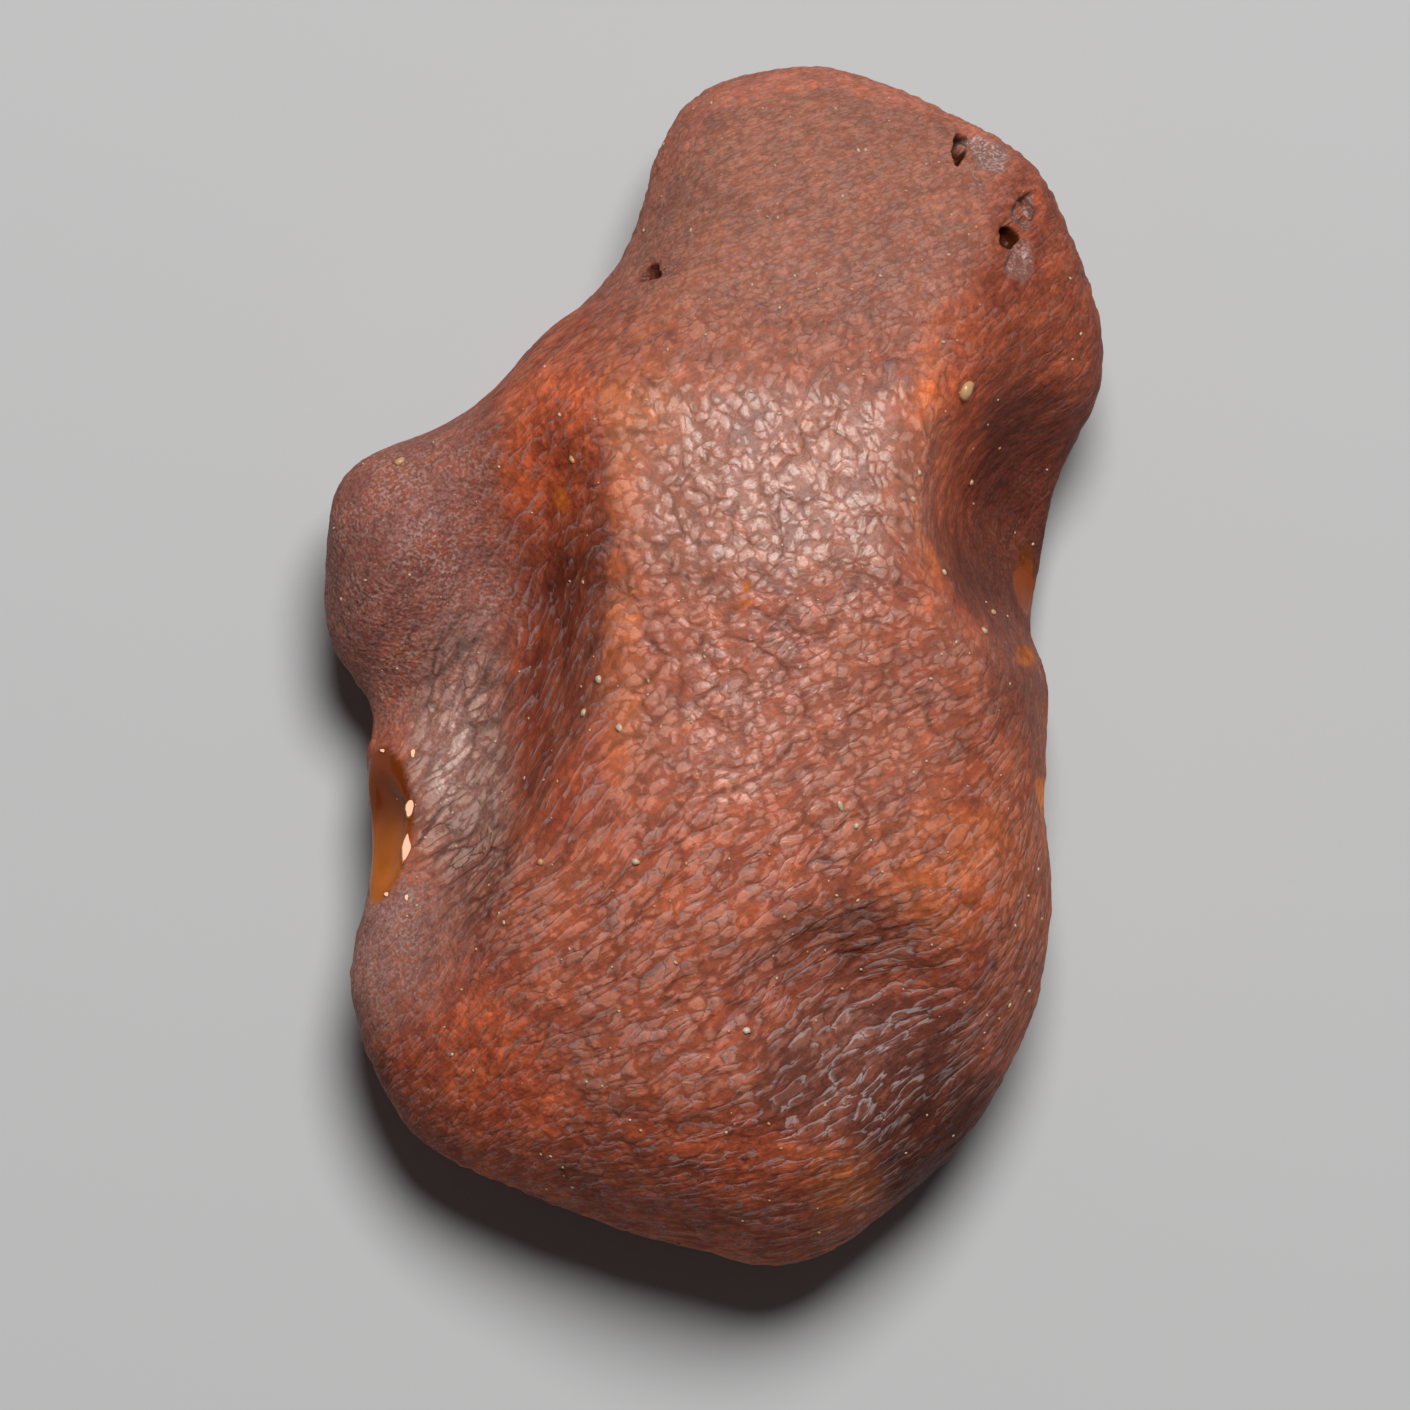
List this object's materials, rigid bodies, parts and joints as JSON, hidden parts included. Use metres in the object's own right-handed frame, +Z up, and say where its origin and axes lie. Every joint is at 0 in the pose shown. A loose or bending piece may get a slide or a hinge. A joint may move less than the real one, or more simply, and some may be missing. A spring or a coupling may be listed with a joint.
{
  "type": "raw amber piece",
  "caption": "Raw amber nodule with a weathered red brown crust, lying on its flattest side.",
  "frame": {"origin": "on the surface that the nodule rests on, under the middle of its outline", "axes": "+Y towards the narrow end, +X to the right seen from above with the narrow end up, +Z up through the thickness"},
  "size_m": [0.026, 0.04, 0.0154],
  "materials": {
    "amber_crust": "waxy, wrinkled, weathered resin crust"
  },
  "bodies": {
    "root": {"amber_nodule": "amber_crust"}
  },
  "joints": []
}
